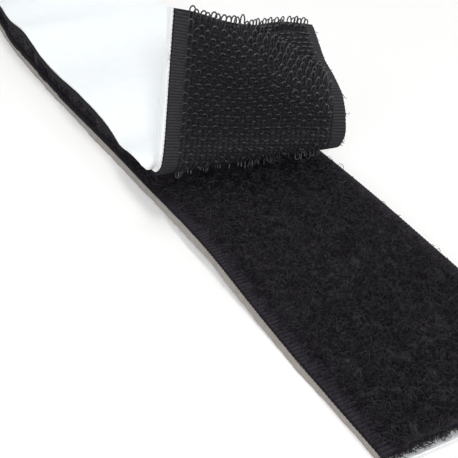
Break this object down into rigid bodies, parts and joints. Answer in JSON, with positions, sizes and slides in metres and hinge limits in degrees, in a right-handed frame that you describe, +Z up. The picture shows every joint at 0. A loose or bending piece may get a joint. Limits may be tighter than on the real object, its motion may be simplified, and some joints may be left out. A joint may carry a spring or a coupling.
{
  "type": "hook and loop tape roll",
  "caption": "Self-adhesive hook and loop tape: a hook strip pressed onto a fuzzy loop strip and peeled up near one end, both backed with release paper and wound into a roll.",
  "frame": {"origin": "on the underside of the loop strip's release paper, at the middle of the flat run and of the tape's width", "axes": "+X across the tape, +Y along it towards the roll, +Z up off the surface it lies on"},
  "size_m": [0.0265, 0.1683, 0.0551],
  "materials": {
    "release_paper": "smooth satin white",
    "adhesive": "soft off-white pressure-sensitive film",
    "loop_weave": "matte black woven ground",
    "loop_pile": "matte black fuzzy loops",
    "hook_weave": "black weave with slightly glossy monofilament hooks"
  },
  "bodies": {
    "strip": {"loop_liner": "release_paper", "loop_adhesive": "adhesive", "loop_ground": "loop_weave", "loop_pile": "loop_pile", "mated_pile": "loop_pile", "hook_ground": "hook_weave", "hook_adhesive": "adhesive", "hook_liner": "release_paper", "wound_loop_liner": "release_paper", "wound_loop_adhesive": "adhesive", "wound_loop_ground": "loop_weave", "wound_pile": "loop_pile", "wound_hook_ground": "hook_weave", "wound_hook_adhesive": "adhesive", "wound_hook_liner": "release_paper"},
    "flap_1": {"flap_1_ground": "hook_weave", "flap_1_adhesive": "adhesive", "flap_1_liner": "release_paper"},
    "flap_2": {"flap_2_ground": "hook_weave", "flap_2_adhesive": "adhesive", "flap_2_liner": "release_paper"},
    "flap_3": {"flap_3_ground": "hook_weave", "flap_3_adhesive": "adhesive", "flap_3_liner": "release_paper"},
    "flap_4": {"flap_4_ground": "hook_weave", "flap_4_adhesive": "adhesive", "flap_4_liner": "release_paper"},
    "flap_5": {"flap_5_ground": "hook_weave", "flap_5_adhesive": "adhesive", "flap_5_liner": "release_paper"},
    "flap_6": {"flap_6_ground": "hook_weave", "flap_6_adhesive": "adhesive", "flap_6_liner": "release_paper"}
  },
  "joints": [
    {"name": "curl_fold_1", "type": "hinge", "parent": "strip", "child": "flap_1", "pos_m": [-0.0125, -0.0186, 0.00378], "axis": [-0.9886, 0.1503, 0], "range_deg": [-33, 8.25]},
    {"name": "curl_fold_2", "type": "hinge", "parent": "flap_1", "child": "flap_2", "pos_m": [-0.01245, -0.02028, 0.00485], "axis": [-0.9886, 0.1503, 0], "range_deg": [-33, 8.25]},
    {"name": "curl_fold_3", "type": "hinge", "parent": "flap_2", "child": "flap_3", "pos_m": [-0.01228, -0.02112, 0.00666], "axis": [-0.9886, 0.1503, 0], "range_deg": [-33, 8.25]},
    {"name": "corner_fold_1", "type": "hinge", "parent": "flap_3", "child": "flap_4", "pos_m": [-0.00894, -0.0186, 0.0256], "axis": [-0.762, 0.2138, 0.6113], "range_deg": [-19, 4.75]},
    {"name": "corner_fold_2", "type": "hinge", "parent": "flap_4", "child": "flap_5", "pos_m": [-0.00857, -0.01779, 0.02739], "axis": [-0.762, 0.2138, 0.6113], "range_deg": [-19, 4.75]},
    {"name": "corner_fold_3", "type": "hinge", "parent": "flap_5", "child": "flap_6", "pos_m": [-0.0083, -0.01649, 0.02889], "axis": [-0.762, 0.2138, 0.6113], "range_deg": [-19, 4.75]}
  ],
  "couplings": [
    {"joint": "curl_fold_2", "follows": "curl_fold_1", "ratio": 1},
    {"joint": "curl_fold_3", "follows": "curl_fold_1", "ratio": 1},
    {"joint": "corner_fold_1", "follows": "curl_fold_1", "ratio": 0.57576},
    {"joint": "corner_fold_2", "follows": "curl_fold_1", "ratio": 0.57576},
    {"joint": "corner_fold_3", "follows": "curl_fold_1", "ratio": 0.57576}
  ]
}
